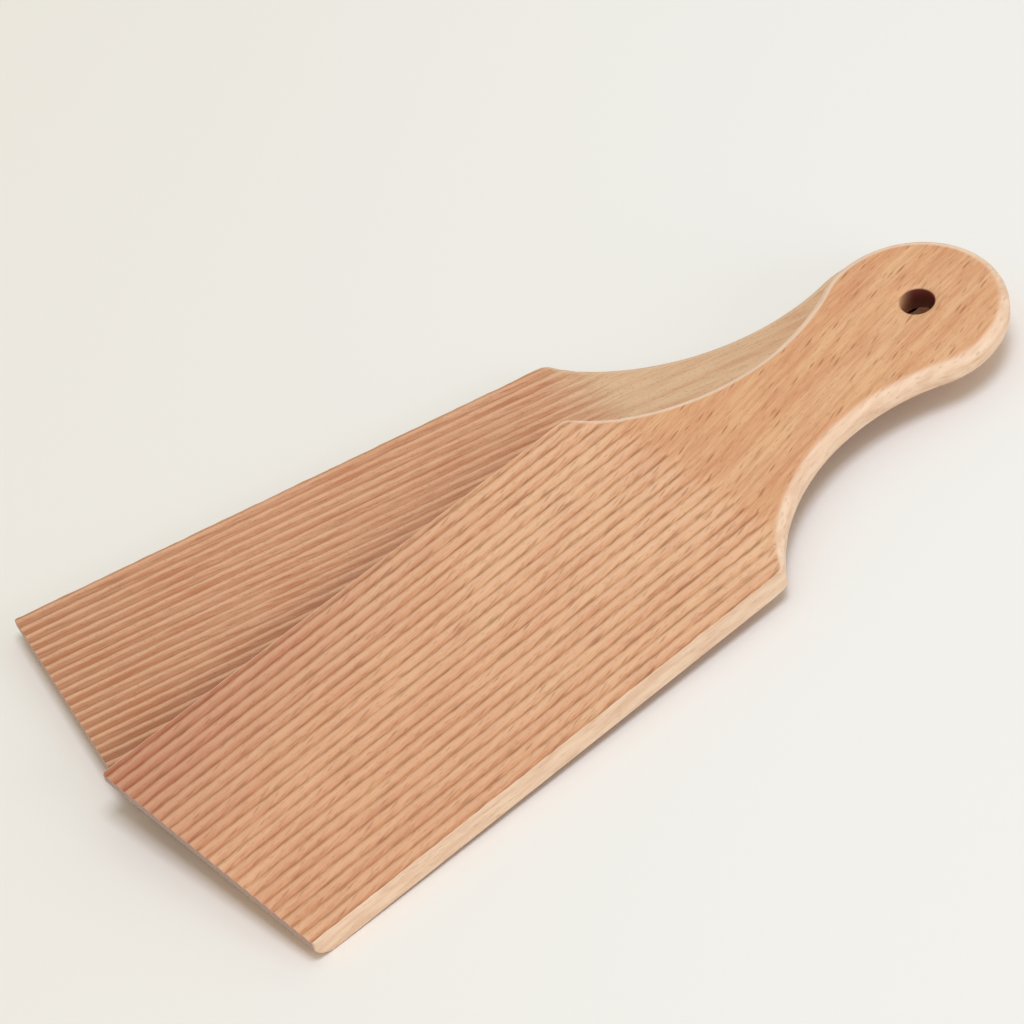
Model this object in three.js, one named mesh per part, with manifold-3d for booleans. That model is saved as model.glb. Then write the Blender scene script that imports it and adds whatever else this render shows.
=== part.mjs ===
// A pair of ribbed beech butter paddles, as they lie on a table: the lower one flat, the upper one
// turned against it, leaning on its long edge with one tip corner down on the table.
// Millimetres, +Z up. The origin is on the table, under the middle of the pair.
import * as THREE from "three";
import { mergeVertices } from "three/addons/utils/BufferGeometryUtils.js";
import Module from "manifold-3d";

const wasm = await Module();
wasm.setup();

// Outline of one paddle, seen from above, from the blade's tip to the end of the round head
const LENGTH = 211.2;
const BLADE_LENGTH = 124;
const BLADE_WIDTH = 66;
const NECK_WIDTH = 27.8;
const HEAD_RADIUS = 20.2;
const TIP_CORNER_RADIUS = 1;
const SHOULDER_RADIUS = 2.5;

// Board and its edges: the handle is rounded over, the blade is left nearly square
const THICKNESS = 6;
const HANDLE_EDGE_RADIUS = 2.4;
const BLADE_EDGE_RADIUS = 0.3;
const EDGE_FADE_BEFORE_SHOULDER = 5;
const EDGE_FADE_PAST_SHOULDER = 8;
const TIP_UNDERCUT_RADIUS = 5;

// Ribs milled along the blade, with grooves that rise out of the wood as the round cutter leaves it
const RIB_PITCH = 2.92;
const RIB_DEPTH = 0.5;
const RIB_DROP = 0.15;
const RIB_OVERRUN = 9;
const CUTTER_RADIUS = 60;

// Hanging hole through the head
const HOLE_DIAMETER = 7.2;
const HOLE_FROM_END = 18.4;
const HOLE_EASE = 0.5;

// How the ribs fall across each blade: the place of one rib's crest, left of the middle
const UPPER_CREST_AT = 1;
const LOWER_CREST_AT = -0.4;

// How the pair lies: the upper paddle's low tip corner, measured along the lower paddle from its tip
// and, down the slope, out from its right-hand edge
const FAN_ANGLE = THREE.MathUtils.degToRad(15.35);
const LOW_CORNER_ALONG = 14.7;
const LOW_CORNER_OUT = 60.4;
const SEAT_GAP = 0.3;
const TABLE_GAP = 0.1;

// Facets, and how closely shapes are worked out
const HEAD_STEPS = 40;
const NECK_STEPS = 14;
const CORNER_STEPS = 4;
const EDGE_STEPS = 3;
const STEPS_PER_RIB = 4;
const RUN_OUT_STEPS = 6;
const UNDERCUT_STEPS = 5;
const HOLE_STEPS = 32;
const CUT_MARGIN = 2;
const WELD_DISTANCE = 1e-5;
const WIDEST_NECK_RADIUS = 1000;
const NECK_RADIUS_CLOSENESS = 1e-6;

const UPPER_BEECH = new THREE.MeshStandardMaterial({ color: 0xdca982, roughness: 0.6, metalness: 0 });
const LOWER_BEECH = new THREE.MeshStandardMaterial({ color: 0xc58e68, roughness: 0.6, metalness: 0 });

const headCentre = LENGTH - HEAD_RADIUS;
const bladeHalf = BLADE_WIDTH / 2;
const edgeFadeStart = BLADE_LENGTH - EDGE_FADE_BEFORE_SHOULDER;
const edgeFadeEnd = BLADE_LENGTH + EDGE_FADE_PAST_SHOULDER;

// The concave neck is one arc on each side: it starts at the shoulder, narrows the handle to the neck
// width and runs smoothly into the round head. Its radius is the one at which these three meet.
function neckArc() {
  const half = NECK_WIDTH / 2;
  const drop = bladeHalf - half;
  const fromShoulder = (radius) => Math.sqrt(2 * radius * drop - drop * drop);
  const fromHead = (radius) => Math.sqrt((radius + HEAD_RADIUS) ** 2 - (radius + half) ** 2);
  let low = drop / 2;
  let high = WIDEST_NECK_RADIUS;
  while (high - low > NECK_RADIUS_CLOSENESS) {
    const middle = (low + high) / 2;
    const reach = fromShoulder(middle) + fromHead(middle);
    if (reach < headCentre - BLADE_LENGTH) {
      low = middle;
    } else {
      high = middle;
    }
  }
  return { radius: low, x: BLADE_LENGTH + fromShoulder(low), y: low + half };
}

// Points of an arc about (x, y), without its last point.
function arcPoints(x, y, radius, from, to, steps) {
  const arc = new THREE.ArcCurve(x, y, radius, from, to, to < from);
  return arc.getPoints(steps).slice(0, steps);
}

// The left half of the outline, from the tip round to the end of the head.
function leftOutline() {
  const neck = neckArc();
  const quarter = Math.PI / 2;
  const tip = TIP_CORNER_RADIUS;
  const tipCorner = arcPoints(tip, bladeHalf - tip, tip, 2 * quarter, quarter, CORNER_STEPS);
  tipCorner.push(new THREE.Vector2(tip, bladeHalf));
  tipCorner.push(new THREE.Vector2(edgeFadeStart, bladeHalf));

  // The shoulder's round lies inside the blade's edge and touches the neck arc from outside.
  const shoulderY = bladeHalf - SHOULDER_RADIUS;
  const apart = neck.radius + SHOULDER_RADIUS;
  const shoulderX = neck.x - Math.sqrt(apart ** 2 - (neck.y - shoulderY) ** 2);
  const toNeck = Math.atan2(neck.y - shoulderY, neck.x - shoulderX);
  const shoulder = arcPoints(shoulderX, shoulderY, SHOULDER_RADIUS, quarter, toNeck, CORNER_STEPS);

  const toHead = Math.atan2(-neck.y, headCentre - neck.x);
  const hollow = arcPoints(neck.x, neck.y, neck.radius, toNeck - Math.PI, toHead, NECK_STEPS);
  const headSteps = HEAD_STEPS / 2;
  const head = arcPoints(headCentre, 0, HEAD_RADIUS, toHead + Math.PI, 0, headSteps);
  return [...tipCorner, ...shoulder, ...hollow, ...head];
}

// The whole outline, counter-clockwise from the end of the head.
function paddleOutline() {
  const left = leftOutline();
  const right = left.map((p) => new THREE.Vector2(p.x, -p.y));
  return [new THREE.Vector2(LENGTH, 0), ...left.reverse(), ...right];
}

// Joins rings of equal counts into one closed solid, with a flat face on the first and the last.
// The face comes from its flat outline, given in the same order as the ring's points.
function skinGeometry(rings, flatOutline) {
  const count = rings[0].length;
  const index = [];
  for (let r = 0; r + 1 < rings.length; r++) {
    for (let i = 0; i < count; i++) {
      const a = r * count + i;
      const b = r * count + ((i + 1) % count);
      index.push(a, b, b + count, a, b + count, a + count);
    }
  }
  const last = (rings.length - 1) * count;
  for (const [a, b, c] of THREE.ShapeUtils.triangulateShape(flatOutline, [])) {
    index.push(c, b, a, last + a, last + b, last + c);
  }
  return new THREE.BufferGeometry().setFromPoints(rings.flat()).setIndex(index);
}

// How far the edge is rounded over at a place along the paddle.
function edgeRadius(x) {
  const handleShare = THREE.MathUtils.smoothstep(x, edgeFadeStart, edgeFadeEnd);
  return THREE.MathUtils.lerp(BLADE_EDGE_RADIUS, HANDLE_EDGE_RADIUS, handleShare);
}

// The sawn board with its edges rounded over, underside on z = 0.
function boardGeometry() {
  const outline = paddleOutline();
  const count = outline.length;
  const inward = outline.map((_, i) => {
    const along = outline[(i + 1) % count].clone().sub(outline[(i + count - 1) % count]).normalize();
    return new THREE.Vector2(-along.y, along.x);
  });
  const ringAt = (angle, isTop) =>
    outline.map((point, i) => {
      const radius = edgeRadius(point.x);
      const place = point.clone().addScaledVector(inward[i], radius * (1 - Math.sin(angle)));
      const rise = radius * (1 - Math.cos(angle));
      return new THREE.Vector3(place.x, place.y, isTop ? THICKNESS - rise : rise);
    });
  const angles = Array.from({ length: EDGE_STEPS + 1 }, (_, k) => (k / EDGE_STEPS) * (Math.PI / 2));
  const below = angles.map((angle) => ringAt(angle, false));
  const above = angles.toReversed().map((angle) => ringAt(angle, true));
  return skinGeometry([...below, ...above], outline);
}

// Everything that the ribbing cutter takes off: the hollows between rounded ribs and the space above.
function ribbingGeometry(crestAt) {
  const top = THICKNESS + RIB_DEPTH + RIB_DROP + CUT_MARGIN;
  const step = RIB_PITCH / STEPS_PER_RIB;
  const reach = bladeHalf + CUT_MARGIN;
  const first = Math.floor((-reach - crestAt) / step);
  const last = Math.ceil((reach - crestAt) / step);
  const profile = [];
  for (let k = first; k <= last; k++) {
    const fromCrest = (k - STEPS_PER_RIB * Math.round(k / STEPS_PER_RIB)) / (STEPS_PER_RIB / 2);
    const height = THICKNESS - RIB_DROP - RIB_DEPTH * fromCrest ** 2;
    profile.push(new THREE.Vector2(crestAt + k * step, height));
  }

  const clearRise = RIB_DEPTH + RIB_DROP + CUT_MARGIN / 2;
  const end = BLADE_LENGTH + RIB_OVERRUN;
  const runOut = Math.sqrt(2 * CUTTER_RADIUS * (RIB_DEPTH + RIB_DROP));
  const start = end - runOut;
  const farEnd = start + Math.sqrt(2 * CUTTER_RADIUS * clearRise);
  const places = [-CUT_MARGIN];
  for (let k = 0; k <= RUN_OUT_STEPS; k++) {
    places.push(THREE.MathUtils.lerp(start, farEnd, k / RUN_OUT_STEPS));
  }

  const rings = places.map((x) => {
    const rise = Math.max(0, x - start) ** 2 / (2 * CUTTER_RADIUS);
    const hollows = profile.map((p) => new THREE.Vector3(x, p.x, p.y + rise));
    const roof = [profile.at(-1).x, profile[0].x].map((y) => new THREE.Vector3(x, y, top + clearRise));
    return [...hollows, ...roof];
  });
  const face = rings[0].map((p) => new THREE.Vector2(p.y, p.z));
  return skinGeometry(rings, face);
}

// The wood rounded away under the tip, which leaves a thin edge to scrape and lift with.
function undercutGeometry() {
  const radius = TIP_UNDERCUT_RADIUS;
  const shape = new THREE.Shape();
  shape.moveTo(-CUT_MARGIN, -CUT_MARGIN);
  shape.lineTo(radius, -CUT_MARGIN);
  shape.lineTo(radius, 0);
  shape.absarc(radius, radius, radius, -Math.PI / 2, -Math.PI, true);
  shape.lineTo(-CUT_MARGIN, radius);
  const depth = BLADE_WIDTH + 2 * CUT_MARGIN;
  const options = { depth, bevelEnabled: false, curveSegments: UNDERCUT_STEPS };
  const cutter = new THREE.ExtrudeGeometry(shape, options);
  return cutter.rotateX(Math.PI / 2).translate(0, depth / 2, 0);
}

// The drill, widened where it eases the rims of the hole.
function drillGeometry() {
  const radius = HOLE_DIAMETER / 2;
  const wide = radius + HOLE_EASE;
  const profile = [
    new THREE.Vector2(0, -CUT_MARGIN),
    new THREE.Vector2(wide, -CUT_MARGIN),
    new THREE.Vector2(wide, 0),
    new THREE.Vector2(radius, HOLE_EASE),
    new THREE.Vector2(radius, THICKNESS - HOLE_EASE),
    new THREE.Vector2(wide, THICKNESS),
    new THREE.Vector2(wide, THICKNESS + CUT_MARGIN),
    new THREE.Vector2(0, THICKNESS + CUT_MARGIN),
  ];
  const drill = new THREE.LatheGeometry(profile, HOLE_STEPS);
  return drill.rotateX(Math.PI / 2).translate(LENGTH - HOLE_FROM_END, 0, 0);
}

// A closed geometry as a solid that can be cut, with the slivers at a lathe's axis left out.
function solidOf(geometry) {
  const bare = geometry.clone();
  bare.deleteAttribute("normal");
  bare.deleteAttribute("uv");
  const merged = mergeVertices(bare, WELD_DISTANCE);
  const triangles = [];
  for (let i = 0; i < merged.index.count; i += 3) {
    const corners = [0, 1, 2].map((k) => merged.index.getX(i + k));
    if (new Set(corners).size === 3) {
      triangles.push(...corners);
    }
  }
  return new wasm.Manifold(
    new wasm.Mesh({
      numProp: 3,
      vertProperties: merged.attributes.position.array,
      triVerts: new Uint32Array(triangles),
    }),
  );
}

function geometryOf(solid) {
  const mesh = solid.getMesh();
  const geometry = new THREE.BufferGeometry();
  geometry.setAttribute("position", new THREE.BufferAttribute(mesh.vertProperties, 3));
  geometry.setIndex(new THREE.BufferAttribute(mesh.triVerts, 1));
  geometry.computeVertexNormals();
  return geometry;
}

// One paddle: tip at x = 0, head towards +X, ribs up, underside on z = 0.
function paddle(name, crestAt, material) {
  const board = solidOf(boardGeometry());
  const cuts = [ribbingGeometry(crestAt), undercutGeometry(), drillGeometry()];
  const shaped = cuts.reduce((solid, cut) => solid.subtract(solidOf(cut)), board);
  const mesh = new THREE.Mesh(geometryOf(shaped), material);
  mesh.name = name;
  return mesh;
}

const lower = paddle("lower_paddle", LOWER_CREST_AT, LOWER_BEECH);
const upper = paddle("upper_paddle", UPPER_CREST_AT, UPPER_BEECH);

// The upper paddle lies in a plane that leans on the lower paddle's right-hand edge. Its lowest point is
// where the underside's right edge meets the tip's undercut, and the lean sets that on the table.
const seatHeight = THICKNESS - RIB_DROP + SEAT_GAP;
const lowPoint = new THREE.Vector2(TIP_UNDERCUT_RADIUS, 0).rotateAround(new THREE.Vector2(), FAN_ANGLE);
const slopeLength = LOW_CORNER_OUT - lowPoint.y;
const leaningPlane = new THREE.Group();
leaningPlane.position.set(0, -bladeHalf, seatHeight);
leaningPlane.rotation.x = Math.asin((seatHeight - TABLE_GAP) / slopeLength);

const cornerFromMiddle = new THREE.Vector2(0, -bladeHalf).rotateAround(new THREE.Vector2(), FAN_ANGLE);
upper.position.set(LOW_CORNER_ALONG - cornerFromMiddle.x, -LOW_CORNER_OUT - cornerFromMiddle.y, 0);
upper.rotation.z = FAN_ANGLE;
leaningPlane.add(upper);

// +X runs midway between the two paddles' axes, towards the heads.
const pair = new THREE.Group();
pair.add(lower, leaningPlane);
pair.rotation.z = -FAN_ANGLE / 2;
const box = new THREE.Box3().setFromObject(pair, true);
const middle = box.getCenter(new THREE.Vector3());
pair.position.set(-middle.x, -middle.y, -box.min.z);

const butterPaddles = new THREE.Group();
butterPaddles.add(pair);

export default butterPaddles;
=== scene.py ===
"""A pair of ribbed beech butter paddles on a pale table: one lies flat, the other leans on its edge.

Each paddle is one board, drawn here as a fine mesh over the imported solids: rounded ribs along the blade
that run out at the shoulders, a waisted handle with rounded edges, and a drilled hanging hole.
"""

import math

import bpy
import numpy as np
from mathutils import Matrix, Vector
from mathutils.geometry import delaunay_2d_cdt


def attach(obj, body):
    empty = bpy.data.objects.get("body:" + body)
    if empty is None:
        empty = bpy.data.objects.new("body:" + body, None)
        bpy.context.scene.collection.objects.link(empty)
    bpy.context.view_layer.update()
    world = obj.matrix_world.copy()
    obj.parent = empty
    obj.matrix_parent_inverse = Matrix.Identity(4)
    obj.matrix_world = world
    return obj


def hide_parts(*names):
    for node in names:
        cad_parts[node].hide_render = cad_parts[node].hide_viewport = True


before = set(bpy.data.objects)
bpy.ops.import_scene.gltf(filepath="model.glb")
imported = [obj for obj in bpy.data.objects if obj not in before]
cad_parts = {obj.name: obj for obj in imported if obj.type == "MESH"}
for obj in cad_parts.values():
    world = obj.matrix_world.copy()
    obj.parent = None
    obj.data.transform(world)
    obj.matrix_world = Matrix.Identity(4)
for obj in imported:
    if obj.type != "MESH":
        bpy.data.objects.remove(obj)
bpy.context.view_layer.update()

MM = 0.001

# One paddle in millimetres: tip at x = 0, head towards +x, ribs up, underside on z = 0.
LENGTH = 211.2
BLADE_LENGTH = 124.0
BLADE_WIDTH = 66.0
NECK_WIDTH = 27.8
HEAD_RADIUS = 20.2
TIP_CORNER_RADIUS = 1.0
SHOULDER_RADIUS = 2.5
THICKNESS = 6.0
UNDERCUT_LENGTH = 5.0
UNDERCUT_HEIGHT = 5.0
HOLE_RADIUS = 3.6
HOLE_FROM_END = 18.4
HOLE_EASE = 0.5

# The outline is drawn this far inside that of the solids, so that the mesh stays in their box.
BOX_CLEARANCE = 0.06

# Edge rounding: nearly square on the blade, full on the handle, and how far one fades into the next.
TIP_EDGE_RADIUS = 0.12
BLADE_EDGE_RADIUS = 0.3
HANDLE_EDGE_RADIUS = 2.4
TIP_EDGE_FADE = 2.0
EDGE_FADE_BEFORE_SHOULDER = 5.0
EDGE_FADE_PAST_SHOULDER = 8.0

# Ribs, milled with a round cutter that rises out of the wood past the shoulders.
RIB_PITCH = 2.92
RIB_DEPTH = 0.4
RIB_DROP = 0.15
RIB_OVERRUN = 9.0
CUTTER_RADIUS = 60.0

# Each board's ribs: the place of one crest, the share of a rib that lies right of its crest, and how full
# its flanks are. The lower board's right tip corner is rounder, so that it stays hidden.
LOWER_RIBS = {
    "crest_at": -0.6,
    "right_share": 0.6,
    "fullness": 1.3,
    "right_corner": 4.0,
    "seed": 11,
}
UPPER_RIBS = {
    "crest_at": 1.6,
    "right_share": 0.7,
    "fullness": 1.6,
    "right_corner": TIP_CORNER_RADIUS,
    "seed": 23,
}

# Unevenness of the milling: lengths in millimetres, strays as shares of a rib's width and of its depth.
WAVER_LENGTHS = (3.7, 6.1, 11.0, 19.0)
CREST_STRAY = 0.009
FLANK_STRAY = 0.08
RIBS_TOLD_APART = 64
RIGHT_FLANK, LEFT_FLANK, CREST = 0, 1, 2
WAVERING_LINES = 3

# The hollows' painted shade: how far it fades before they end,
# and the least depth and the largest share it counts.
HOLLOW_FADE = 3.0
LEAST_HOLLOW = 0.02
MOST_OF_HOLLOW = 1.2

# From here to the shoulder the edge is sanded until the ribs no longer show in it.
SANDED_FROM = 114.0

# A rim beside the edge, painted as a highlight over pale wood: its width, and how far round the edge
# the rim's wood counts as being.
RIM_WIDTH = 0.35
RIM_SIDE = 0.12

# How the pair lies. The upper paddle's low tip corner is measured from the lower one's right tip corner.
FAN_ANGLE = math.radians(15.35)
LOW_CORNER_ALONG = 14.7
LOW_CORNER_OUT = 60.4
LOW_POINT_FROM_TIP = 5.0
SEAT_GAP = 0.3
TABLE_GAP = 0.1
LOWER_TIP = Vector((-101.407, 31.037, 0.0))

# Mesh fineness. Steps and gaps are in millimetres, and the undercut starts at a share of its quarter turn.
COLUMNS_PER_RIB = 10
COLUMN_CLEARANCE = 0.15
ROW_STEP = 1.1
ROWS_PAST_RIBS = 2.0
ARC_STEP = 0.8
FEWEST_ARC_STEPS = 4
HANDLE_STEP = 2.5
EDGE_STEPS = 7
HOLE_STEPS = 64
UNDERCUT_STEPS = 10
UNDERCUT_START = 0.15
RIBBED_GAP = 0.15
PLAIN_GAP = 1.0
UNDER_GAP = 0.3

# How far and how closely the shapes are worked out.
WIDEST_NECK_RADIUS = 1000.0
CLOSE_ENOUGH = 1e-6
SAME_POINT = 1e-7
LEVEL = 1e-12

HEAD_CENTRE = LENGTH - HEAD_RADIUS
HALF_WIDTH = BLADE_WIDTH / 2
HOLE_X = LENGTH - HOLE_FROM_END
RUN_OUT_END = BLADE_LENGTH + RIB_OVERRUN
RUN_OUT_START = RUN_OUT_END - math.sqrt(2 * CUTTER_RADIUS * (RIB_DEPTH + RIB_DROP))


def neck_arc():
    """Radius and centre of the hollow that joins the shoulder to the round head."""
    half = NECK_WIDTH / 2
    drop = HALF_WIDTH - half
    low, high = drop / 2, WIDEST_NECK_RADIUS
    while high - low > CLOSE_ENOUGH:
        radius = (low + high) / 2
        from_shoulder = math.sqrt(2 * radius * drop - drop**2)
        from_head = math.sqrt((radius + HEAD_RADIUS) ** 2 - (radius + half) ** 2)
        if from_shoulder + from_head < HEAD_CENTRE - BLADE_LENGTH:
            low = radius
        else:
            high = radius
    return low, BLADE_LENGTH + math.sqrt(2 * low * drop - drop**2), low + half


def arc(x, y, radius, start, end):
    """Points of an arc from one angle to another, without its last point."""
    count = max(FEWEST_ARC_STEPS, round(abs(end - start) * radius / ARC_STEP))
    angles = np.linspace(start, end, count, endpoint=False)
    return np.column_stack((x + radius * np.cos(angles), y + radius * np.sin(angles)))


def side_outline(tip):
    """The left side of the board, from a tip corner of the given radius round to the end of the head."""
    quarter = math.pi / 2
    corner = arc(tip, HALF_WIDTH - tip, tip, 2 * quarter, quarter)
    neck_radius, neck_x, neck_y = neck_arc()
    shoulder_y = HALF_WIDTH - SHOULDER_RADIUS
    apart = neck_radius + SHOULDER_RADIUS
    shoulder_x = neck_x - math.sqrt(apart**2 - (neck_y - shoulder_y) ** 2)
    to_neck = math.atan2(neck_y - shoulder_y, neck_x - shoulder_x)
    to_head = math.atan2(-neck_y, HEAD_CENTRE - neck_x)
    count = round((shoulder_x - tip) / ROW_STEP)
    edge_x = np.linspace(tip, shoulder_x, count, endpoint=False)
    edge = np.column_stack((edge_x, np.full(count, HALF_WIDTH)))
    shoulder = arc(shoulder_x, shoulder_y, SHOULDER_RADIUS, quarter, to_neck)
    hollow = arc(neck_x, neck_y, neck_radius, to_neck - math.pi, to_head)
    head = arc(HEAD_CENTRE, 0, HEAD_RADIUS, to_head + math.pi, 0)
    return np.vstack((corner, edge, shoulder, hollow, head))


def rib_columns(crest_at, right_corner):
    """Places across the blade where the rib profile is sampled, right to left."""
    step = RIB_PITCH / COLUMNS_PER_RIB
    right = HALF_WIDTH - right_corner - COLUMN_CLEARANCE
    left = HALF_WIDTH - TIP_CORNER_RADIUS - COLUMN_CLEARANCE
    first = math.ceil((-right - crest_at) / step)
    last = math.floor((left - crest_at) / step)
    return crest_at + step * np.arange(first, last + 1)


def board_outline(ribs):
    """The whole outline, counter-clockwise from the right tip corner, and its inward directions."""
    left = side_outline(TIP_CORNER_RADIUS)
    right = side_outline(ribs["right_corner"]) * (1, -1)
    tip_y = rib_columns(ribs["crest_at"], ribs["right_corner"])[::-1]
    tip = np.column_stack((np.zeros(len(tip_y)), tip_y))
    points = np.vstack((right, [(LENGTH, 0)], left[::-1], tip))
    along = np.roll(points, -1, axis=0) - np.roll(points, 1, axis=0)
    along /= np.linalg.norm(along, axis=1, keepdims=True)
    inward = np.column_stack((-along[:, 1], along[:, 0]))
    return points + BOX_CLEARANCE * inward, inward


def smooth_step(low, high, value):
    """A share from 0 to 1 that eases in and out while a value runs from low to high."""
    share = np.clip((value - low) / (high - low), 0, 1)
    return share * share * (3 - 2 * share)


def edge_radius(x):
    """How far the edge is rounded over: hardly at the tip, a little on the blade, most on the handle."""
    handle_from = BLADE_LENGTH - EDGE_FADE_BEFORE_SHOULDER
    handle_to = BLADE_LENGTH + EDGE_FADE_PAST_SHOULDER
    blade = smooth_step(0, TIP_EDGE_FADE, x)
    radius = TIP_EDGE_RADIUS + (BLADE_EDGE_RADIUS - TIP_EDGE_RADIUS) * blade
    return radius + (HANDLE_EDGE_RADIUS - radius) * smooth_step(handle_from, handle_to, x)


def hand_waver(seed):
    """Small unevenness along each milled rib: of its right flank, of its left flank, or of where its crest
    lies."""
    shape = (RIBS_TOLD_APART, WAVERING_LINES, len(WAVER_LENGTHS))
    phases = np.random.default_rng(seed).uniform(0, 2 * math.pi, shape)

    def waver(x, number, which):
        turns = x[:, None] / np.array(WAVER_LENGTHS)
        return np.sin(2 * math.pi * turns + phases[number % RIBS_TOLD_APART, which]).sum(axis=1)

    return waver


def rib_place(points, ribs, waver):
    """Which rib each point is on, and how far it is from the crest: -1 and 1 in the hollows beside it."""
    x, y = points[:, 0], points[:, 1]
    rib = (y - ribs["crest_at"]) / RIB_PITCH
    right, left = ribs["right_share"], 1 - ribs["right_share"]
    number = np.floor(rib + right).astype(int)
    off_crest = rib - number + CREST_STRAY * waver(x, number, CREST)
    return number, np.clip(np.where(off_crest < 0, off_crest / right, off_crest / left), -1, 1)


def run_out_rise(x):
    """How far the round cutter has risen out of the wood."""
    return np.maximum(0, x - RUN_OUT_START) ** 2 / (2 * CUTTER_RADIUS)


def rib_height(points, ribs, waver, kept=1.0):
    """Height of the upper face: rounded ribs whose hollows rise out of the wood past the shoulders. Only a
    share of the hollows may be kept, where the wood is sanded smooth."""
    x = points[:, 0]
    number, from_crest = rib_place(points, ribs, waver)
    flank = np.where(from_crest > 0, LEFT_FLANK, RIGHT_FLANK)
    unevenness = 1 + FLANK_STRAY * waver(x, number, flank)
    hollow = kept * RIB_DEPTH * np.abs(from_crest) ** ribs["fullness"] * unevenness
    return np.minimum(THICKNESS, THICKNESS - RIB_DROP - hollow + run_out_rise(x))


def in_hollow(points, ribs, waver):
    """How deep each point lies in a hollow, as a share of the hollow's depth there, which the material
    darkens as painted shade. It fades out just before the hollow ends."""
    x = points[:, 0]
    deepest = np.maximum(RIB_DEPTH + RIB_DROP - run_out_rise(x), LEAST_HOLLOW)
    share = np.minimum((THICKNESS - rib_height(points, ribs, waver)) / deepest, MOST_OF_HOLLOW)
    return share * smooth_step(RUN_OUT_END, RUN_OUT_END - HOLLOW_FADE, x)


def near_crest(points, ribs, waver):
    """How near each point is to a crest, 0 to 1, fading out with the ribs: where the crests' painted
    highlight goes.
    """
    _, from_crest = rib_place(points, ribs, waver)
    return (1 - np.abs(from_crest)) * smooth_step(RUN_OUT_END, RUN_OUT_START, points[:, 0])


def under_height(points):
    """Height of the underside: flat, with the wood rounded away under the tip."""
    reach = np.clip(1 - points[:, 0] / UNDERCUT_LENGTH, 0, 1)
    return UNDERCUT_HEIGHT * (1 - np.sqrt(1 - reach**2))


def inside(points, loop):
    """Which points lie inside a closed loop."""
    x, y = points[:, 0:1], points[:, 1:2]
    a, b = loop, np.roll(loop, -1, axis=0)
    spans = (a[:, 1] > y) != (b[:, 1] > y)
    rise = np.where(np.abs(b[:, 1] - a[:, 1]) < LEVEL, LEVEL, b[:, 1] - a[:, 1])
    cross_x = a[:, 0] + (y - a[:, 1]) / rise * (b[:, 0] - a[:, 0])
    return np.count_nonzero(spans & (x < cross_x), axis=1) % 2 == 1


def nearest(points, loop):
    """Distance from each point to the nearest point of a loop."""
    return np.min(np.linalg.norm(points[:, None, :] - loop[None, :, :], axis=2), axis=1)


def clear_of(points, loop, hole, gap):
    """Those points that lie inside a loop, with a gap to it and to the hole."""
    kept = points[inside(points, loop)]
    kept = kept[nearest(kept, loop) > gap]
    return kept[nearest(kept, hole) > gap]


def grid(x, y):
    """A point wherever a place along the board meets a place across it."""
    return np.stack(np.meshgrid(x, y), axis=-1).reshape(-1, 2)


def fill(loop, hole, extra):
    """Triangles that fill a loop around a hole and pass through the extra points."""
    points = np.vstack((loop, hole, extra))
    edges = [(i, (i + 1) % len(loop)) for i in range(len(loop))]
    first = len(loop)
    edges += [(first + i, first + (i + 1) % len(hole)) for i in range(len(hole))]
    made = delaunay_2d_cdt([Vector(p) for p in points], edges, [], 0, SAME_POINT)
    flat = np.array([tuple(p) for p in made[0]])
    faces = np.array([f for f in made[2] if len(f) == 3])
    middles = flat[faces].mean(axis=1)
    keep = inside(middles, loop) & ~inside(middles, hole)
    return points, faces[keep]


class Board:
    """The points and faces of one paddle. Each point has three marks: how deep it lies in a hollow, how near
    it is to a crest, and how far round the edge it is. That last one is 0 on the faces, 1 on the wall and -1
    in the bore."""

    def __init__(self, ribs):
        self.ribs = ribs
        self.waver = hand_waver(ribs["seed"])
        self.points = []
        self.faces = []
        self.marks = {"hollow": [], "crest": [], "side": []}

    def add(self, points, heights, side, on_top=False):
        """Adds points and gives the number of the first one. Only the upper face has ribs."""
        first = len(self.points)
        self.points.extend(np.column_stack((points, heights)))
        plain = np.zeros(len(points))
        self.marks["hollow"].extend(in_hollow(points, self.ribs, self.waver) if on_top else plain)
        self.marks["crest"].extend(near_crest(points, self.ribs, self.waver) if on_top else plain)
        self.marks["side"].extend(np.broadcast_to(side, len(points)))
        return first

    def join(self, lower, upper, count):
        """Joins two rings of points, each given by its first number, with a band of faces."""
        for i in range(count):
            j = (i + 1) % count
            self.faces.append((lower + i, lower + j, upper + j, upper + i))


def rounded_edge(board, outline, inward):
    """Rings of points round the edge, up from the underside to the rim of the upper face. Gives the lowest
    and the highest ring, each with the number of its first point."""
    radius = edge_radius(outline[:, 0])
    angles = np.linspace(0, math.pi / 2, EDGE_STEPS + 1)
    numbers = []
    for angle in angles:
        ring = outline + (radius * (1 - math.sin(angle)))[:, None] * inward
        heights = under_height(ring) + radius * (1 - math.cos(angle))
        numbers.append(board.add(ring, heights, math.sin(angle)))
    for angle in angles[::-1]:
        ring = outline + (radius * (1 - math.sin(angle)))[:, None] * inward
        kept = 1 - math.sin(angle) * smooth_step(SANDED_FROM, BLADE_LENGTH, outline[:, 0])
        heights = rib_height(ring, board.ribs, board.waver, kept) - radius * (1 - math.cos(angle))
        numbers.append(board.add(ring, heights, max(RIM_SIDE, math.sin(angle)), on_top=True))
    rim = outline + (radius + RIM_WIDTH)[:, None] * inward
    numbers.append(board.add(rim, rib_height(rim, board.ribs, board.waver), 0, on_top=True))
    for lower, upper in zip(numbers, numbers[1:]):
        board.join(lower, upper, len(outline))
    return outline + radius[:, None] * inward, numbers[0], rim, numbers[-1]


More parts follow.
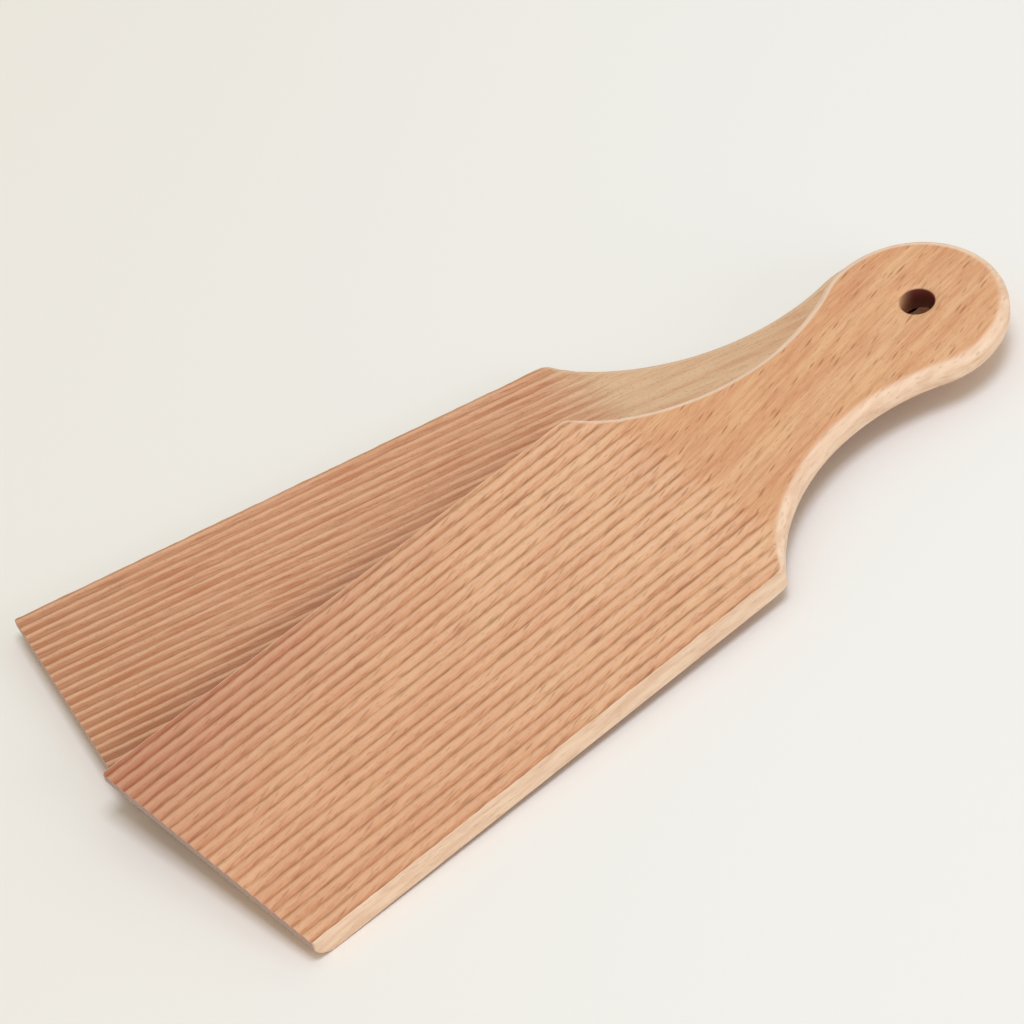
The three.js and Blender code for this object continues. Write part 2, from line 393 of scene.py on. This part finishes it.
def hanging_hole(board):
    """A drilled hole with eased rims. Gives its wide circle, and the number of that circle's first point
    above and below."""
    turn = np.linspace(0, 2 * math.pi, HOLE_STEPS, endpoint=False)
    circle = np.column_stack((np.cos(turn), np.sin(turn)))
    centre = np.array((HOLE_X, 0))
    wide = centre + (HOLE_RADIUS + HOLE_EASE) * circle
    bore = centre + HOLE_RADIUS * circle
    numbers = [
        board.add(wide, np.full(HOLE_STEPS, THICKNESS), 0),
        board.add(bore, np.full(HOLE_STEPS, THICKNESS - HOLE_EASE), -1),
        board.add(bore, np.full(HOLE_STEPS, HOLE_EASE), -1),
        board.add(wide, np.full(HOLE_STEPS, 0.0), 0),
    ]
    for upper, lower in zip(numbers, numbers[1:]):
        board.join(upper, lower, HOLE_STEPS)
    return wide, numbers[0], numbers[-1]


def close_face(board, loop, loop_first, hole, hole_first, extra, is_top):
    """Fills the upper face or the underside, from its loop to the hole and through the extra points."""
    points, triangles = fill(loop, hole, extra)
    heights = rib_height(extra, board.ribs, board.waver) if is_top else under_height(extra)
    extra_first = board.add(extra, heights, 0, is_top)
    numbers = np.concatenate(
        (
            loop_first + np.arange(len(loop)),
            hole_first + np.arange(len(hole)),
            extra_first + np.arange(len(extra)),
        )
    )
    corners = points[triangles]
    first_edge = corners[:, 1] - corners[:, 0]
    second_edge = corners[:, 2] - corners[:, 0]
    faces_up = first_edge[:, 0] * second_edge[:, 1] - first_edge[:, 1] * second_edge[:, 0] > 0
    for triangle, is_up in zip(numbers[triangles], faces_up):
        board.faces.append(tuple(triangle if is_up == is_top else triangle[::-1]))


def paddle_mesh(name, ribs, place):
    """One whole paddle as a closed mesh, whose points keep their places on the board in millimetres."""
    board = Board(ribs)
    under_loop, under_first, top_loop, top_first = rounded_edge(board, *board_outline(ribs))
    hole, top_hole_first, under_hole_first = hanging_hole(board)

    rows = np.arange(ROW_STEP, RUN_OUT_END + ROWS_PAST_RIBS, ROW_STEP)
    ribbed = grid(rows, rib_columns(ribs["crest_at"], TIP_CORNER_RADIUS))
    across = np.arange(-HALF_WIDTH, HALF_WIDTH, HANDLE_STEP)
    plain = grid(np.arange(rows[-1] + HANDLE_STEP, LENGTH, HANDLE_STEP), across)
    top = (clear_of(ribbed, top_loop, hole, RIBBED_GAP), clear_of(plain, top_loop, hole, PLAIN_GAP))
    close_face(board, top_loop, top_first, hole, top_hole_first, np.vstack(top), True)

    turns = np.linspace(UNDERCUT_START, 1, UNDERCUT_STEPS) * math.pi / 2
    undercut = grid(UNDERCUT_LENGTH * (1 - np.cos(turns)), across)
    under = clear_of(undercut, under_loop, hole, UNDER_GAP)
    close_face(board, under_loop, under_first, hole, under_hole_first, under, False)

    points = np.array(board.points)
    turn_and_lean = np.array(place.to_3x3())
    mesh = bpy.data.meshes.new(name)
    mesh.from_pydata(points * MM @ turn_and_lean.T + np.array(place.translation), [], board.faces)
    on_board = mesh.attributes.new("board", "FLOAT_VECTOR", "POINT")
    on_board.data.foreach_set("vector", points.astype("f").ravel())
    for mark, values in board.marks.items():
        mesh.attributes.new(mark, "FLOAT", "POINT").data.foreach_set("value", np.array(values, "f"))
    mesh.shade_smooth()
    return mesh


def paddle(name, ribs, place):
    """One paddle in its place."""
    piece = bpy.data.objects.new(name, paddle_mesh(name, ribs, place))
    bpy.context.scene.collection.objects.link(piece)
    return piece


def shift(x, y, z):
    """A move by some millimetres."""
    return Matrix.Translation(Vector((x, y, z)) * MM)


# The upper paddle leans: its underside is just over the lower blade's long edge, its low corner just over
# the table.
seat_height = THICKNESS - RIB_DROP + SEAT_GAP
slope_length = LOW_CORNER_OUT - LOW_POINT_FROM_TIP * math.sin(FAN_ANGLE)
lean = math.asin((seat_height - TABLE_GAP) / slope_length)
corner = Matrix.Rotation(FAN_ANGLE, 3, "Z") @ Vector((0, -HALF_WIDTH, 0))

lower_place = shift(*LOWER_TIP) @ Matrix.Rotation(-FAN_ANGLE / 2, 4, "Z")
upper_place = (
    lower_place
    @ shift(0, -HALF_WIDTH, seat_height)
    @ Matrix.Rotation(lean, 4, "X")
    @ shift(LOW_CORNER_ALONG - corner.x, -LOW_CORNER_OUT - corner.y, 0)
    @ Matrix.Rotation(FAN_ANGLE, 4, "Z")
)

lower = paddle("lower_board", LOWER_RIBS, lower_place)
upper = paddle("upper_board", UPPER_RIBS, upper_place)
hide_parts("lower_paddle")
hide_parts("upper_paddle")
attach(lower, "lower")
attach(upper, "upper")


# The upper board is cut across the rays, so their ends show as dashes along the grain. Sizes are a length
# along the grain, a width and a depth in millimetres, and shares run from 0 to 1. Real fibres and pores are
# too fine to show, so both are drawn as coarse as they need to be.
UPPER_CUT = {
    # How the grain runs: its drift across the board, its turn in the neck, its bends.
    "drift": 0.1,
    "neck_by_mm": -4.0,
    "bend_mm": 45.0,
    "bend_by_mm": 5.0,
    # Growth bands, then blotches in them.
    "band_mm": (60.0, 5.0, 8.0),
    "tan": "#E5B083",
    "red": "#DEA275",
    "blotch_mm": (20.0, 4.5, 6.0),
    "blush": "#CE8A62",
    "blade_blush": 0.5,
    "handle_blush": 0.3,
    "pale": "#E8BA88",
    "pale_share": 0.5,
    # Streaks and fibres.
    "streak_mm": (18.0, 1.1, 1.2),
    "blade_streaks": 0.25,
    "handle_streaks": 0.3,
    "streak_dark": "#BE7E54",
    "streak_pale": "#F1C597",
    "fibre_mm": (4.5, 0.4, 0.4),
    "blade_fibres": 0.3,
    "handle_fibres": 0.2,
    # A redder blade and tip, and the painted shadow of the other paddle.
    "blade_red": "#BE6E44",
    "blade_red_to": 30.0,
    "blade_red_share": 0.25,
    "tip_red": "#A24B30",
    "tip_slant": 3.0,
    "tip_span": (40.0, -110.0),
    "tip_share": 0.77,
    "upper_shadow": "#83462A",
    "upper_shadow_share": 0.0,
    # Milled ribs: painted shade in the hollows and a painted highlight on the crests, both broken up.
    "breakup_mm": (5.0, 0.6, 3.0),
    "blade_breakup": 0.12,
    "shade_breakup_by": 1.3,
    "hollow": "#8A5A38",
    "hollow_span": (0.6, 1.0),
    "hollow_at_tip": 0.36,
    "hollow_at_shoulder": 0.5,
    "highlight_breakup_by": 0.35,
    "crest": "#F0C4A0",
    "crest_span": (0.0, 1.0),
    "crest_at_tip": 0.4,
    "crest_at_shoulder": 0.66,
    # Pores and ray flecks, whose thickness is a share of their cell.
    "pore_mm": (3.0, 0.5, 3.0),
    "pore_thickness": 0.36,
    "pore_share": 0.4,
    "ray": "#94522E",
    "ray_mm": (9.0, 1.3, 5.0),
    "ray_thickness": 0.32,
    "ray_lean": 0.12,
    "blade_rays": 0.42,
    "handle_rays": 0.65,
    # Sawn edge, painted rim highlight and tip-end shade, and painted light and shade in the bore.
    "rim": "#FCE2CA",
    "edge_pale": "#F5D6B8",
    "edge_tan": "#E6C0A0",
    "edge_dash": "#C09878",
    "shaded_end_grain": "#B5978A",
    "bore_lit_side": "#D9A87C",
    "bore_shade": "#5E241C",
}

# The lower board is cut along the rays: hardly any dashes, long soft streaks and a fine speckle instead.
LOWER_CUT = {
    **UPPER_CUT,
    "drift": -0.05,
    "neck_by_mm": 0.0,
    "band_mm": (45.0, 3.5, 8.0),
    "tan": "#E4BE98",
    "red": "#DEB38C",
    "blotch_mm": (22.0, 2.6, 6.0),
    "blush": "#C8885E",
    "blade_blush": 0.8,
    "pale": "#E4C09A",
    "streak_mm": (26.0, 0.8, 0.9),
    "blade_streaks": 0.65,
    "handle_streaks": 0.15,
    "streak_dark": "#B98A66",
    "streak_pale": "#E6C7A4",
    "fibre_mm": (8.0, 0.32, 0.3),
    "blade_fibres": 0.6,
    "handle_fibres": 0.25,
    "blade_red": "#C87046",
    "blade_red_to": 116.0,
    "blade_red_share": 0.49,
    "tip_red": "#9A5A34",
    "tip_slant": 0.0,
    "tip_span": (60.0, -20.0),
    "tip_share": 0.46,
    # The upper paddle's shadow, painted on this blade beside its edge.
    "upper_shadow_share": 0.52,
    # Painted shade in the hollows and a painted highlight on the crests, broken up along their length.
    "blade_breakup": 0.35,
    "hollow": "#A06B48",
    "hollow_span": (0.3, 1.0),
    "hollow_at_tip": 0.14,
    "hollow_at_shoulder": 0.14,
    "crest": "#F2C49A",
    "crest_span": (0.4, 0.95),
    "crest_at_tip": 0.56,
    "crest_at_shoulder": 0.5,
    "pore_mm": (1.6, 0.5, 3.0),
    "pore_share": 0.45,
    "ray": "#7E5A3E",
    "ray_lean": 0.0,
    "blade_rays": 0.15,
    "handle_rays": 0.15,
    # The rim's painted highlight over pale wood, and the sawn edge.
    "rim": "#EBCBA8",
    "edge_pale": "#E4C29E",
    "edge_tan": "#DAB48E",
    "edge_dash": "#B08A68",
}

# Where each tint of the figure starts and where it is full, on a soft pattern that runs from 0 to 1.
BAND_SPAN = (0.4, 0.6)
BLUSH_SPAN = (0.5, 0.68)
PALE_SPAN = (0.5, 0.32)
STREAK_DARK_SPAN = (0.48, 0.68)
STREAK_PALE_SPAN = (0.52, 0.32)
FIBRE_DARK_SPAN = (0.48, 0.66)
FIBRE_PALE_SPAN = (0.52, 0.34)
BREAKUP_SPAN = (0.53, 0.72)
FLECK_SPAN = (0.0, 1.0)

# Finer layers within each soft pattern.
FIGURE_DETAIL = 2.0

# How the breakup pattern breaks the hollows' painted shade and the crests' painted highlight: from the
# middle of their pattern, and full at this value.
BREAKUP_MIDDLE = 0.5
BREAKUP_FULL = 0.6

# Flecks: the shortest as a share of the longest, their dark core, and the faintest of them.
SHORTEST_FLECK = 0.3
FLECK_CORE = 0.1
FAINTEST_FLECK = 0.2

# Where along the board the grain turns into the neck, and where the blade's look gives way to the handle's.
NECK_TURN_FROM = 110.0
NECK_TURN_TO = 175.0
BLADE_LOOK_TO = BLADE_LENGTH - 8.0
HANDLE_LOOK_FROM = BLADE_LENGTH + 12.0

# The shadow of the upper paddle's edge, painted on the lower blade: the edge's slant, where the shade beside
# it starts and where it is full, and how far up the blade it stays as dark.
SHADOW_EDGE_SLANT = 0.304
SHADOW_EDGE_SPAN = (-13.0, -24.0)
SHADOW_DARKEST_TO = 50.0

# Edge: its own figure, and how far round it the rim's painted highlight, the sawn wood and the bore's
# painted light and shade start and are full.
EDGE_STREAK_MM = (12.0, 2.0, 1.5)
EDGE_STREAK_SPAN = (0.3, 0.7)
EDGE_DASH_MM = (3.0, 1.0, 0.4)
EDGE_DASH_SPAN = (0.55, 0.75)
EDGE_DASH_SHARE = 0.5
RIM_SPAN = (0.08, 0.3)
SAWN_SPAN = (0.1, 0.5)
BORE_SPAN = (-0.3, -0.9)

# Where along the board the painted shade on the tip's end grain starts and is full, and where the bore
# turns from painted light to painted shade.
SHADED_END_GRAIN_SPAN = (0.6, 0.2)
BORE_SHADE_SPAN = (HOLE_X - HOLE_RADIUS, HOLE_X + 2.0)

# The rim's painted highlight is strong on the handle's left side, less so on its right, and hardly on the
# blade.
RIM_ON_BLADE = 0.1
RIM_ON_RIGHT = 0.15
RIM_TURN = 6.0

# Bare planed beech: a soft sheen, fibres that stand up by some hundredths of a millimetre, and flecks that
# sink in by a share of that.
BEECH_ROUGHNESS = 0.55
BEECH_IOR = 1.45
FIBRE_RELIEF = 0.06
RELIEF_STRENGTH = 0.5
FLECK_DENT = 0.3

# Sockets of the mix node when it mixes colours.
MIX_SHARE, MIX_UNDER, MIX_OVER, MIX_RESULT = 0, 6, 7, 2


def linear(hex_colour):
    """An sRGB hex colour as the linear values that Blender's sockets hold, by the standard curve."""
    parts = [int(hex_colour[i : i + 2], 16) / 255 for i in (1, 3, 5)]
    return tuple(c / 12.92 if c <= 0.04045 else ((c + 0.055) / 1.055) ** 2.4 for c in parts) + (1.0,)


def node(tree, kind, inputs=None, **settings):
    """Adds a node, sets its properties, and sets or links its inputs."""
    made = tree.nodes.new(kind)
    for name, value in settings.items():
        setattr(made, name, value)
    for name, value in (inputs or {}).items():
        if isinstance(value, bpy.types.NodeSocket):
            tree.links.new(value, made.inputs[name])
        else:
            made.inputs[name].default_value = value
    return made


def figure(tree, grain, size):
    """Soft streaks in the wood, 0 to 1, of a given length, width and depth in millimetres."""
    stretched = node(
        tree,
        "ShaderNodeVectorMath",
        {0: grain, 1: tuple(1 / length for length in size)},
        operation="MULTIPLY",
    )
    noise = node(
        tree,
        "ShaderNodeTexNoise",
        {"Vector": stretched.outputs[0], "Scale": 1.0, "Detail": FIGURE_DETAIL},
    )
    return noise.outputs["Fac"]


def flecks(tree, grain, size, thickness):
    """Dashes along the grain, one to a cell of the given size in millimetres, each with its own length and
    darkness: 0 in plain wood, up to 1 in the middle of the darkest dash."""
    stretched = node(
        tree,
        "ShaderNodeVectorMath",
        {0: grain, 1: tuple(1 / length for length in size)},
        operation="MULTIPLY",
    )
    cells = node(
        tree,
        "ShaderNodeTexVoronoi",
        {"Vector": stretched.outputs[0], "Scale": 1.0},
        voronoi_dimensions="2D",
    )
    chance = node(tree, "ShaderNodeSeparateColor", {0: cells.outputs["Color"]})
    reach = node(
        tree,
        "ShaderNodeMapRange",
        {"Value": chance.outputs[0], "To Min": SHORTEST_FLECK * thickness, "To Max": thickness},
    )
    core = node(tree, "ShaderNodeMath", {0: reach.outputs[0], 1: FLECK_CORE}, operation="MULTIPLY")
    dark = node(
        tree,
        "ShaderNodeMapRange",
        {"Value": chance.outputs[1], "To Min": FAINTEST_FLECK, "To Max": 1.0},
    )
    dash = node(
        tree,
        "ShaderNodeMapRange",
        {
            "Value": cells.outputs["Distance"],
            "From Min": reach.outputs[0],
            "From Max": core.outputs[0],
            "To Max": dark.outputs[0],
        },
        interpolation_type="SMOOTHSTEP",
    )
    return dash.outputs[0]


def stain(tree, under, colour, where, span, share=1.0):
    """Lays a colour over another where a value runs through a span, up to a share."""
    amount = node(
        tree,
        "ShaderNodeMapRange",
        {"Value": where, "From Min": span[0], "From Max": span[1], "To Max": share},
        interpolation_type="SMOOTHSTEP",
    )
    over = colour if isinstance(colour, bpy.types.NodeSocket) else linear(colour)
    mixed = node(
        tree,
        "ShaderNodeMix",
        {MIX_SHARE: amount.outputs[0], MIX_UNDER: under, MIX_OVER: over},
        data_type="RGBA",
    )
    return mixed.outputs[MIX_RESULT]


def blade_to_handle(tree, at, on_blade, on_handle):
    """A share that changes from the ribbed blade to the plain handle."""
    share = node(
        tree,
        "ShaderNodeMapRange",
        {
            "Value": at["x"],
            "From Min": BLADE_LOOK_TO,
            "From Max": HANDLE_LOOK_FROM,
            "To Min": on_blade,
            "To Max": on_handle,
        },
        interpolation_type="SMOOTHSTEP",
    )
    return share.outputs[0]


def tip_to_shoulder(tree, at, at_tip, at_shoulder):
    """A share that changes evenly from the blade's tip to its shoulders."""
    share = node(
        tree,
        "ShaderNodeMapRange",
        {"Value": at["x"], "From Max": BLADE_LENGTH, "To Min": at_tip, "To Max": at_shoulder},
    )
    return share.outputs[0]


def board_places(tree, cut):
    """Where a point is: along and across the board, on the ribs and the edge, and in the grain, which drifts
    across the board, turns a little in the neck and bends. The rays may lean against the grain."""
    board = node(tree, "ShaderNodeAttribute", attribute_name="board").outputs["Vector"]
    parts = node(tree, "ShaderNodeSeparateXYZ", {0: board})
    x, y, z = (parts.outputs[axis] for axis in "XYZ")
    bend = node(tree, "ShaderNodeTexNoise", {"Vector": board, "Scale": 1 / cut["bend_mm"], "Detail": 0.0})
    bent = node(
        tree,
        "ShaderNodeMath",
        {0: bend.outputs["Fac"], 1: cut["bend_by_mm"], 2: y},
        operation="MULTIPLY_ADD",
    )
    neck = node(
        tree,
        "ShaderNodeMapRange",
        {"Value": x, "From Min": NECK_TURN_FROM, "From Max": NECK_TURN_TO, "To Max": cut["neck_by_mm"]},
        interpolation_type="SMOOTHSTEP",
    )
    turned = node(tree, "ShaderNodeMath", {0: bent.outputs[0], 1: neck.outputs[0]}, operation="ADD")
    across = node(
        tree,
        "ShaderNodeMath",
        {0: x, 1: -cut["drift"], 2: turned.outputs[0]},
        operation="MULTIPLY_ADD",
    )
    ray_across = node(
        tree,
        "ShaderNodeMath",
        {0: x, 1: -cut["ray_lean"], 2: across.outputs[0]},
        operation="MULTIPLY_ADD",
    )
    grain = node(tree, "ShaderNodeCombineXYZ", {"X": x, "Y": across.outputs[0], "Z": z})
    ray_grain = node(tree, "ShaderNodeCombineXYZ", {"X": x, "Y": ray_across.outputs[0], "Z": z})
    at = {"x": x, "y": y, "grain": grain.outputs[0], "ray_grain": ray_grain.outputs[0]}
    for mark in ("hollow", "crest", "side"):
        at[mark] = node(tree, "ShaderNodeAttribute", attribute_name=mark).outputs["Fac"]
    return at


def grown_wood(tree, at, cut):
    """Growth bands and blotches, then streaks and fibres. Gives the wood's colour and its fibres."""
    bands = figure(tree, at["grain"], cut["band_mm"])
    wood = stain(tree, linear(cut["tan"]), cut["red"], bands, BAND_SPAN)
    blotches = figure(tree, at["grain"], cut["blotch_mm"])
    blush_share = blade_to_handle(tree, at, cut["blade_blush"], cut["handle_blush"])
    wood = stain(tree, wood, cut["blush"], blotches, BLUSH_SPAN, blush_share)
    wood = stain(tree, wood, cut["pale"], blotches, PALE_SPAN, cut["pale_share"])
    streaks = figure(tree, at["grain"], cut["streak_mm"])
    streak_share = blade_to_handle(tree, at, cut["blade_streaks"], cut["handle_streaks"])
    wood = stain(tree, wood, cut["streak_dark"], streaks, STREAK_DARK_SPAN, streak_share)
    wood = stain(tree, wood, cut["streak_pale"], streaks, STREAK_PALE_SPAN, streak_share)
    fibres = figure(tree, at["grain"], cut["fibre_mm"])
    fibre_share = blade_to_handle(tree, at, cut["blade_fibres"], cut["handle_fibres"])
    wood = stain(tree, wood, cut["streak_dark"], fibres, FIBRE_DARK_SPAN, fibre_share)
    wood = stain(tree, wood, cut["streak_pale"], fibres, FIBRE_PALE_SPAN, fibre_share)
    return wood, fibres


def red_and_shadowed_blade(tree, at, cut, wood):
    """A redder blade and tip, and the upper paddle's shadow painted on the lower blade beside its edge."""
    blade_span = (RUN_OUT_END, cut["blade_red_to"])
    wood = stain(tree, wood, cut["blade_red"], at["x"], blade_span, cut["blade_red_share"])
    to_tip = node(
        tree,
        "ShaderNodeMath",
        {0: at["y"], 1: -cut["tip_slant"], 2: at["x"]},
        operation="MULTIPLY_ADD",
    )
    wood = stain(tree, wood, cut["tip_red"], to_tip.outputs[0], cut["tip_span"], cut["tip_share"])
    # Painted shadow: darker beside the upper paddle's edge.
    from_shadow_edge = node(
        tree,
        "ShaderNodeMath",
        {0: at["x"], 1: -SHADOW_EDGE_SLANT, 2: at["y"]},
        operation="MULTIPLY_ADD",
    )
    upper_shadow_share = node(
        tree,
        "ShaderNodeMapRange",
        {
            "Value": at["x"],
            "From Min": SHADOW_DARKEST_TO,
            "From Max": RUN_OUT_END,
            "To Min": cut["upper_shadow_share"],
            "To Max": 0.0,
        },
    )
    return stain(tree, wood, cut["upper_shadow"], from_shadow_edge.outputs[0], SHADOW_EDGE_SPAN, upper_shadow_share.outputs[0])


def milled_ribs(tree, at, cut, wood):
    """A painted highlight on the crests and painted shade in the hollows, both broken up along their length.
    """
    breakup = figure(tree, at["grain"], cut["breakup_mm"])
    breakup_share = blade_to_handle(tree, at, cut["blade_breakup"], 0.0)
    wood = stain(tree, wood, cut["hollow"], breakup, BREAKUP_SPAN, breakup_share)
    broken_highlight = node(
        tree,
        "ShaderNodeMath",
        {0: breakup, 1: -cut["highlight_breakup_by"], 2: at["crest"]},
        operation="MULTIPLY_ADD",
    )
    broken_highlight_span = [end - BREAKUP_MIDDLE * cut["highlight_breakup_by"] for end in cut["crest_span"]]
    crest_highlight_share = tip_to_shoulder(tree, at, cut["crest_at_tip"], cut["crest_at_shoulder"])
    wood = stain(tree, wood, cut["crest"], broken_highlight.outputs[0], broken_highlight_span, crest_highlight_share)
    broken_shade = node(
        tree,
        "ShaderNodeMath",
        {0: breakup, 1: cut["shade_breakup_by"], 2: at["hollow"]},
        operation="MULTIPLY_ADD",
    )
    start, full = cut["hollow_span"]
    broken_shade_span = (start + BREAKUP_MIDDLE * cut["shade_breakup_by"], full + BREAKUP_FULL * cut["shade_breakup_by"])
    hollow_shade_share = tip_to_shoulder(tree, at, cut["hollow_at_tip"], cut["hollow_at_shoulder"])
    return stain(tree, wood, cut["hollow"], broken_shade.outputs[0], broken_shade_span, hollow_shade_share)


def flecked_wood(tree, at, cut, wood):
    """Fine pores and ray flecks, as dashes along the grain. Gives the wood's colour and its rays."""
    pores = flecks(tree, at["grain"], cut["pore_mm"], cut["pore_thickness"])
    wood = stain(tree, wood, cut["ray"], pores, FLECK_SPAN, cut["pore_share"])
    rays = flecks(tree, at["ray_grain"], cut["ray_mm"], cut["ray_thickness"])
    ray_share = blade_to_handle(tree, at, cut["blade_rays"], cut["handle_rays"])
    return stain(tree, wood, cut["ray"], rays, FLECK_SPAN, ray_share), rays


def sawn_edge(tree, at, cut, wood):
    """Paler wood where the board was sawn and sanded round, with fine dashes along the grain, end grain at
    the tip darkened by painted shade, and a rim beside it painted as a highlight over pale wood."""
    streaks = figure(tree, at["grain"], EDGE_STREAK_MM)
    edge = stain(tree, linear(cut["edge_pale"]), cut["edge_tan"], streaks, EDGE_STREAK_SPAN)
    dashes = figure(tree, at["grain"], EDGE_DASH_MM)
    edge = stain(tree, edge, cut["edge_dash"], dashes, EDGE_DASH_SPAN, EDGE_DASH_SHARE)
    # Painted shade on the tip's end grain.
    edge = stain(tree, edge, cut["shaded_end_grain"], at["x"], SHADED_END_GRAIN_SPAN)
    rim_on_handle = node(
        tree,
        "ShaderNodeMapRange",
        {"Value": at["y"], "From Min": -RIM_TURN, "From Max": RIM_TURN, "To Min": RIM_ON_RIGHT},
    )
    rim_share = blade_to_handle(tree, at, RIM_ON_BLADE, rim_on_handle.outputs[0])
    # Painted highlight along the rim, over pale wood.
    wood = stain(tree, wood, cut["rim"], at["side"], RIM_SPAN, rim_share)
    return stain(tree, wood, edge, at["side"], SAWN_SPAN)


def drilled_hole(tree, at, cut, wood):
    """The bore: painted shade inside, and painted light on its wall towards the blade."""
    bore_shading = stain(tree, linear(cut["bore_lit_side"]), cut["bore_shade"], at["x"], BORE_SHADE_SPAN)
    return stain(tree, wood, bore_shading, at["side"], BORE_SPAN)


def beech(name, cut):
    """Beech, planed and milled, left bare. The eye sees a warm tan with redder growth bands along the grain,
    fine fibre streaks, short dark ray flecks and a paler sawn edge, with painted light and shade: darker
    hollows, paler crests, a highlight along the rim, shade at the tip's end and in the bore, and on the
    lower board the upper paddle's shadow."""
    material = bpy.data.materials.new(name)
    material.use_nodes = True
    tree = material.node_tree
    shader = tree.nodes["Principled BSDF"]
    at = board_places(tree, cut)
    wood, fibres = grown_wood(tree, at, cut)
    wood = red_and_shadowed_blade(tree, at, cut, wood)
    wood = milled_ribs(tree, at, cut, wood)
    wood, rays = flecked_wood(tree, at, cut, wood)
    wood = sawn_edge(tree, at, cut, wood)
    wood = drilled_hole(tree, at, cut, wood)
    relief = node(tree, "ShaderNodeMath", {0: rays, 1: -FLECK_DENT, 2: fibres}, operation="MULTIPLY_ADD")
    bump = node(
        tree,
        "ShaderNodeBump",
        {"Height": relief.outputs[0], "Strength": RELIEF_STRENGTH, "Distance": FIBRE_RELIEF * MM},
    )
    tree.links.new(wood, shader.inputs["Base Color"])
    tree.links.new(bump.outputs[0], shader.inputs["Normal"])
    shader.inputs["Roughness"].default_value = BEECH_ROUGHNESS
    shader.inputs["IOR"].default_value = BEECH_IOR
    return material


upper.data.materials.append(beech("planed_beech_flat_sawn", UPPER_CUT))
lower.data.materials.append(beech("planed_beech_quarter_sawn", LOWER_CUT))

# Table: a plain pale sheet, in metres. Its colour is painted paler towards the right of the view, as painted
# light.
TABLE_REACH = 3.0
PAPER_RIGHT = (0.822, -0.524, 0.0)
PAPER_SPAN = (-0.16, 0.12)
PAPER_GREY = "#F4F1E9"
PAPER_PALE = "#F7F7F3"
PAPER_ROUGHNESS = 0.9
PAPER_SHEEN = 0.2


def table_paper(name):
    """Matt paper under the paddles. The eye sees a plain pale ground, painted a little greyer to the left
    and paler to the right as painted light.
    """
    material = bpy.data.materials.new(name)
    material.use_nodes = True
    tree = material.node_tree
    shader = tree.nodes["Principled BSDF"]
    place = node(tree, "ShaderNodeTexCoord").outputs["Object"]
    to_right = node(tree, "ShaderNodeVectorMath", {0: place, 1: PAPER_RIGHT}, operation="DOT_PRODUCT")
    # Painted light: the paper paler towards the right.
    paper = stain(tree, linear(PAPER_GREY), PAPER_PALE, to_right.outputs["Value"], PAPER_SPAN)
    tree.links.new(paper, shader.inputs["Base Color"])
    shader.inputs["Roughness"].default_value = PAPER_ROUGHNESS
    shader.inputs["Specular IOR Level"].default_value = PAPER_SHEEN
    return material


table_corners = [(TABLE_REACH * x, TABLE_REACH * y, 0) for x, y in ((-1, -1), (1, -1), (1, 1), (-1, 1))]
floor_mesh = bpy.data.meshes.new("table")
floor_mesh.from_pydata(table_corners, [], [(0, 1, 2, 3)])
floor = bpy.data.objects.new("table", floor_mesh)
bpy.context.scene.collection.objects.link(floor)
floor.data.materials.append(table_paper("matt_cream_paper"))

# Light: a bright, slightly warm room, one large soft lamp above, and a weak one in front for the edges.
# Places and sizes are in metres, powers in watts.
ROOM_WARM = "#FDF9E9"
ROOM_STRENGTH = 0.58
LAMP_WHITE = "#EAEEFF"
LAMP_ABOVE = {"place": (0.1, -0.8, 2.85), "size": 1.1, "power": 38.0}
LAMP_IN_FRONT = {"place": (0.9, -2.5, 0.8), "size": 1.2, "power": 15.0}

world = bpy.data.worlds.new("room")
world.use_nodes = True
bpy.context.scene.world = world
background = world.node_tree.nodes["Background"]
background.inputs["Color"].default_value = linear(ROOM_WARM)
background.inputs["Strength"].default_value = ROOM_STRENGTH


def soft_lamp(name, place, size, power):
    """A square lamp that faces the paddles."""
    lamp = bpy.data.lights.new(name, "AREA")
    lamp.color = linear(LAMP_WHITE)[:3]
    lamp.size = size
    lamp.energy = power
    made = bpy.data.objects.new(name, lamp)
    bpy.context.scene.collection.objects.link(made)
    made.location = place
    made.rotation_euler = (-Vector(place)).to_track_quat("-Z", "Y").to_euler()


soft_lamp("lamp_above", **LAMP_ABOVE)
soft_lamp("lamp_in_front", **LAMP_IN_FRONT)

# Camera, fitted to the photograph's square frame. Its lens and sensor are in millimetres.
CAMERA_AT = Vector((-319.572, -780.257, 707.706)) * MM
CAMERA_AIM = Vector((-2.129, 18.854, 0.0)) * MM
CAMERA_ROLL = math.radians(-16.775)
CAMERA_LENS = 190.385
CAMERA_SENSOR = 36.0
camera_data = bpy.data.cameras.new("camera")
camera_data.lens = CAMERA_LENS
camera_data.sensor_width = CAMERA_SENSOR
camera = bpy.data.objects.new("camera", camera_data)
bpy.context.scene.collection.objects.link(camera)
look = (CAMERA_AIM - CAMERA_AT).to_track_quat("-Z", "Y").to_matrix().to_4x4()
camera.matrix_world = Matrix.Translation(CAMERA_AT) @ look @ Matrix.Rotation(CAMERA_ROLL, 4, "Z")
bpy.context.scene.camera = camera

bpy.context.scene.view_settings.view_transform = "Standard"
